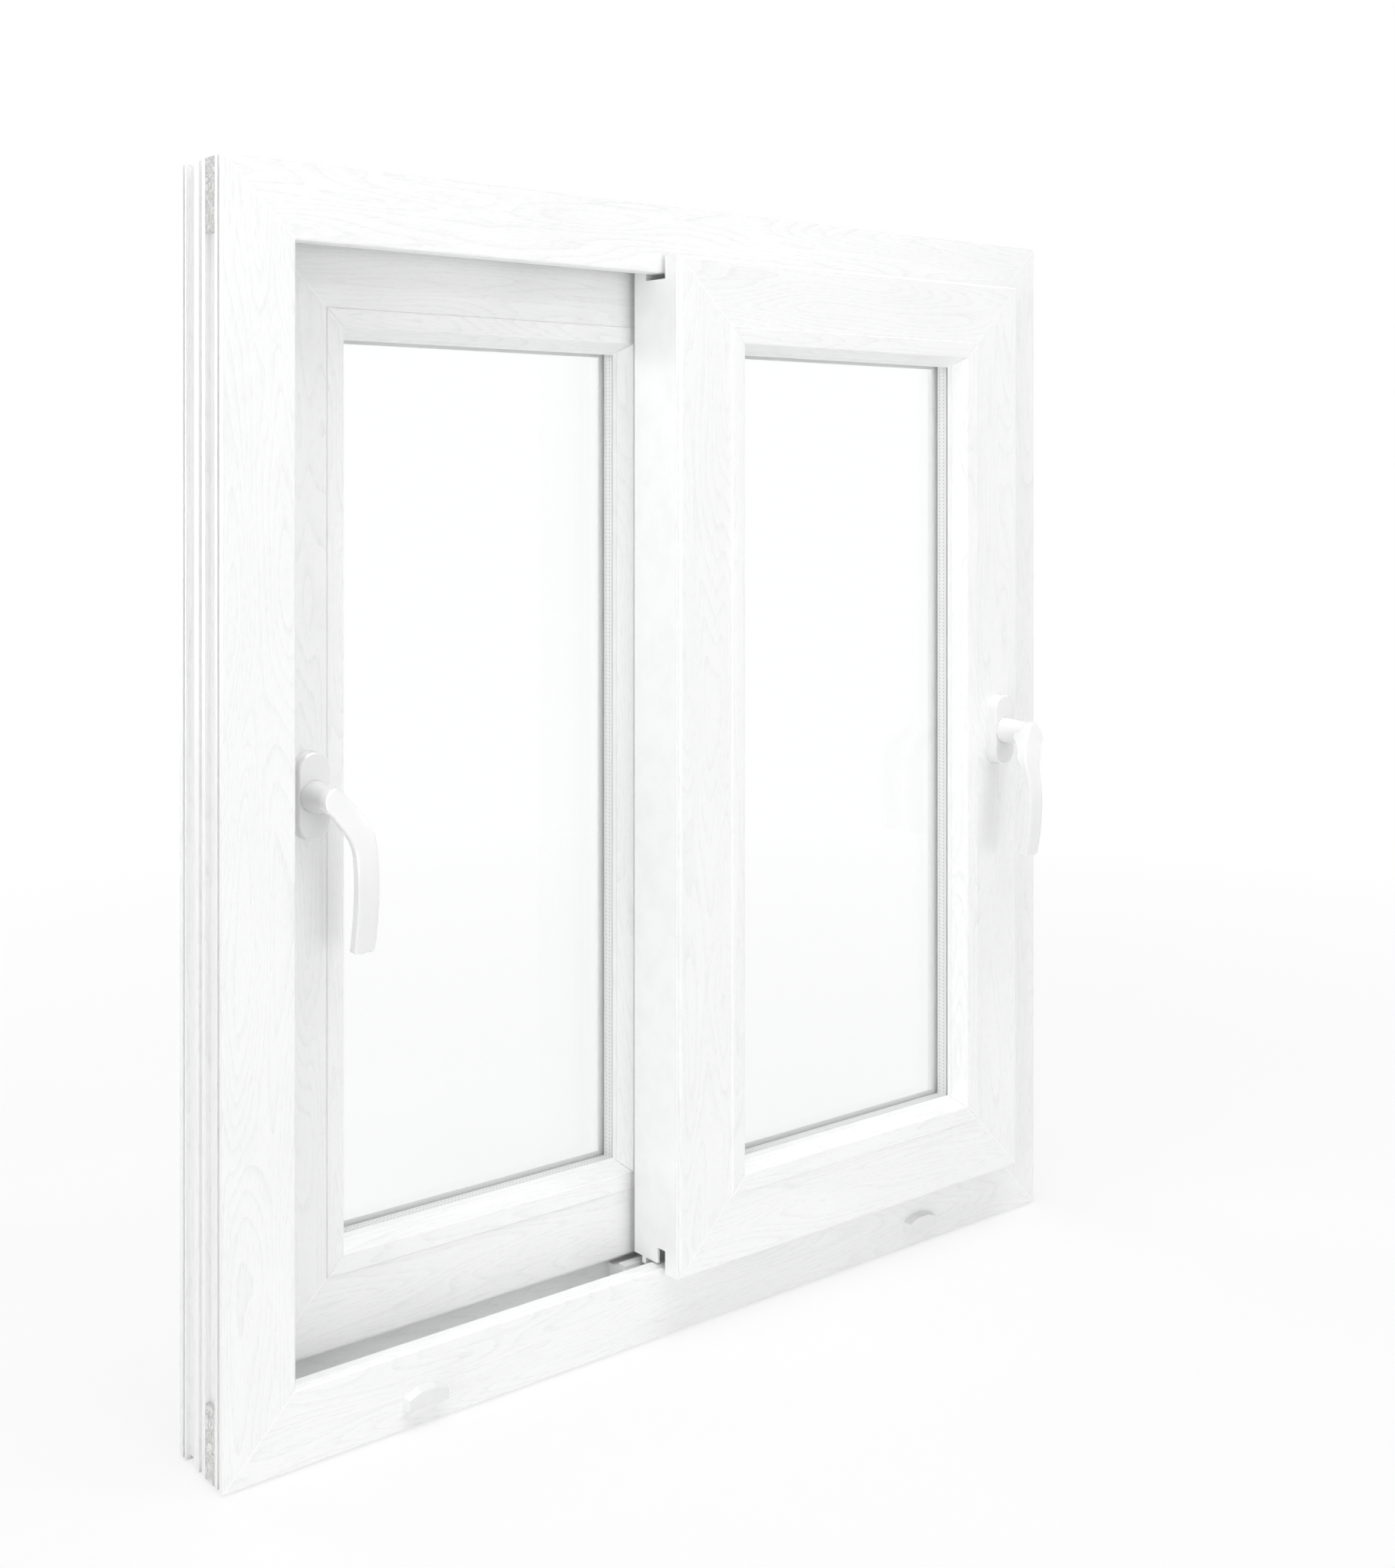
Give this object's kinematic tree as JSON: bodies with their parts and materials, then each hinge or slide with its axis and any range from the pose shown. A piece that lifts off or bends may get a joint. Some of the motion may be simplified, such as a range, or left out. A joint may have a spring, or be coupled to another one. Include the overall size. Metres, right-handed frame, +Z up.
{
  "type": "sliding window",
  "caption": "Horizontal sliding window in a square white frame, with double glazed sashes on separate tracks, each with a cranked turning handle",
  "frame": {"origin": "the middle of the sill's underside, at mid-width and on its widest flat rib, where the frame stands on the wall opening", "axes": "+X to the right along the window seen from the room, +Y outwards away from the room and the handles, +Z up"},
  "size_m": [0.912, 0.1901, 1],
  "materials": {
    "white_profile": "satin white vinyl profile with a faint fine grain",
    "white_plastic": "moulded white plastic",
    "rail": "white coated aluminium strip, slightly worn",
    "interlock": "white powder coated aluminium",
    "gasket": "soft light grey weatherseal",
    "glass": "clear double glazing",
    "spacer": "satin spacer bar",
    "pile": "brushed pile draught strip",
    "roller_body": "moulded nylon",
    "roller": "acetal wheel",
    "buffer": "matt rubber block",
    "handle": "glossy white enamel on cast metal"
  },
  "bodies": {
    "frame": {"frame_sill": "white_profile", "frame_head": "white_profile", "frame_jamb_left": "white_profile", "frame_jamb_right": "white_profile", "sill_rail_front": "rail", "sill_rail_rear": "rail", "weep_cover_left": "white_plastic", "weep_cover_right": "white_plastic", "corner_plugs": "white_plastic", "sill_block": "white_plastic", "head_block": "white_plastic", "travel_stops": "buffer"},
    "front_sash": {"front_bottom_rail": "white_profile", "front_top_rail": "white_profile", "front_lock_stile": "white_profile", "front_meeting_stile": "white_profile", "front_beads": "white_profile", "front_inner_gasket": "gasket", "front_outer_gasket": "gasket", "front_glass": "glass", "front_spacer": "spacer", "front_interlock": "interlock", "front_pile_seal": "pile", "front_roller_carriages": "roller_body", "front_rollers": "roller", "front_handle_rosette": "handle"},
    "rear_sash": {"rear_bottom_rail": "white_profile", "rear_top_rail": "white_profile", "rear_lock_stile": "white_profile", "rear_meeting_stile": "white_profile", "rear_beads": "white_profile", "rear_inner_gasket": "gasket", "rear_outer_gasket": "gasket", "rear_glass": "glass", "rear_spacer": "spacer", "rear_interlock": "interlock", "rear_pile_seal": "pile", "rear_roller_carriages": "roller_body", "rear_rollers": "roller", "rear_handle_rosette": "handle"},
    "front_handle": {"front_handle_lever": "handle"},
    "rear_handle": {"rear_handle_lever": "handle"}
  },
  "joints": [
    {"name": "rear_sash_slide", "type": "slide", "parent": "frame", "child": "rear_sash", "axis": [1, 0, 0], "range_m": [0, 0.098]},
    {"name": "front_sash_slide", "type": "slide", "parent": "frame", "child": "front_sash", "axis": [-1, 0, 0], "range_m": [0, 0.098]},
    {"name": "rear_handle_turn", "type": "hinge", "parent": "rear_sash", "child": "rear_handle", "pos_m": [-0.3608, 0.0024, 0.50575], "axis": [0, -1, 0], "range_deg": [0, 90]},
    {"name": "front_handle_turn", "type": "hinge", "parent": "front_sash", "child": "front_handle", "pos_m": [0.3725, -0.0686, 0.50575], "axis": [0, 1, 0], "range_deg": [0, 90]}
  ]
}
